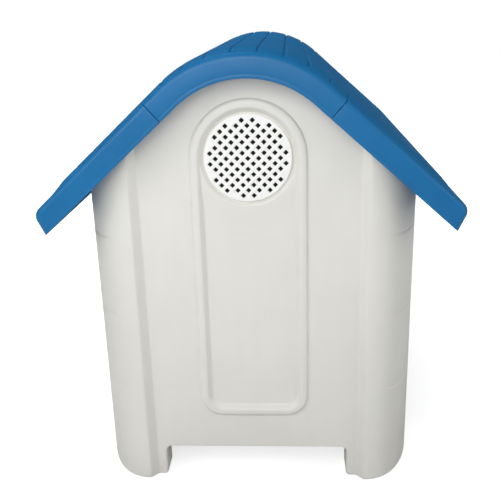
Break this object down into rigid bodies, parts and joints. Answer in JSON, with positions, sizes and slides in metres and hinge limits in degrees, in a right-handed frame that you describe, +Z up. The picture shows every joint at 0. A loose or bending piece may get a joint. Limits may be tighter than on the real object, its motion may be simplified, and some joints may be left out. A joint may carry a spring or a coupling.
{
  "type": "pet kennel",
  "caption": "Moulded-plastic pet kennel with a lift-off rounded gable roof, arched doorway, round rear vent and raised floor on corner feet.",
  "frame": {"origin": "on the ground, under the middle of the kennel", "axes": "+Z up; -Y is the front with the doorway, +Y the rear with the round vent; +X is the kennel's own left side"},
  "size_m": [0.59, 0.75, 0.663],
  "materials": {
    "body_plastic": "satin moulded polypropylene, warm white",
    "vent_plastic": "satin moulded polypropylene, cooler white",
    "roof_plastic": "satin moulded polypropylene, mid blue",
    "tray_plastic": "fine-grained moulded polypropylene, light grey",
    "clip_plastic": "moulded nylon, mid grey",
    "knob_plastic": "moulded nylon, roof blue",
    "seal_rubber": "matt black rubber",
    "screen_mesh": "fine black woven fly screen in a stiff rim"
  },
  "bodies": {
    "body": {"base_tray": "tray_plastic", "rear_panel": "body_plastic", "front_panel": "body_plastic", "rear_vent_grille": "vent_plastic", "rear_vent_screen": "screen_mesh", "left_wall": "body_plastic", "right_wall": "body_plastic", "wall_clip_front_left_low": "clip_plastic", "wall_clip_front_left_high": "clip_plastic", "wall_clip_rear_left_low": "clip_plastic", "wall_clip_rear_left_high": "clip_plastic", "wall_clip_front_right_low": "clip_plastic", "wall_clip_front_right_high": "clip_plastic", "wall_clip_rear_right_low": "clip_plastic", "wall_clip_rear_right_high": "clip_plastic", "tray_screw_1": "clip_plastic", "tray_screw_2": "clip_plastic", "tray_screw_3": "clip_plastic", "tray_screw_4": "clip_plastic", "tray_screw_5": "clip_plastic", "tray_screw_6": "clip_plastic", "tray_screw_7": "clip_plastic", "tray_screw_8": "clip_plastic", "catch_screw_front_left": "clip_plastic", "catch_screw_rear_left": "clip_plastic", "catch_screw_front_right": "clip_plastic", "catch_screw_rear_right": "clip_plastic"},
    "roof": {"roof_ridge": "roof_plastic", "roof_left": "roof_plastic", "roof_right": "roof_plastic", "roof_clip_left_front": "clip_plastic", "roof_clip_left_middle": "clip_plastic", "roof_clip_left_rear": "clip_plastic", "roof_clip_right_front": "clip_plastic", "roof_clip_right_middle": "clip_plastic", "roof_clip_right_rear": "clip_plastic"},
    "drain_plug": {"drain_plug": "knob_plastic", "drain_seal": "seal_rubber"},
    "roof_catch_front_left": {"roof_catch_front_left": "knob_plastic"},
    "roof_catch_rear_left": {"roof_catch_rear_left": "knob_plastic"},
    "roof_catch_front_right": {"roof_catch_front_right": "knob_plastic"},
    "roof_catch_rear_right": {"roof_catch_rear_right": "knob_plastic"}
  },
  "joints": [
    {"name": "roof_lift", "type": "slide", "parent": "body", "child": "roof", "axis": [0, 0, 1], "range_m": [0, 0.25]},
    {"name": "drain_plug_pull", "type": "slide", "parent": "body", "child": "drain_plug", "axis": [0, 0, 1], "range_m": [0, 0.03]},
    {"name": "roof_catch_front_left_turn", "type": "hinge", "parent": "body", "child": "roof_catch_front_left", "pos_m": [0.2487, -0.11, 0.445], "axis": [-1, 0, 0], "range_deg": [0, 90]},
    {"name": "roof_catch_rear_left_turn", "type": "hinge", "parent": "body", "child": "roof_catch_rear_left", "pos_m": [0.2487, 0.11, 0.445], "axis": [1, 0, 0], "range_deg": [0, 90]},
    {"name": "roof_catch_front_right_turn", "type": "hinge", "parent": "body", "child": "roof_catch_front_right", "pos_m": [-0.2487, -0.11, 0.445], "axis": [-1, 0, 0], "range_deg": [0, 90]},
    {"name": "roof_catch_rear_right_turn", "type": "hinge", "parent": "body", "child": "roof_catch_rear_right", "pos_m": [-0.2487, 0.11, 0.445], "axis": [1, 0, 0], "range_deg": [0, 90]}
  ]
}
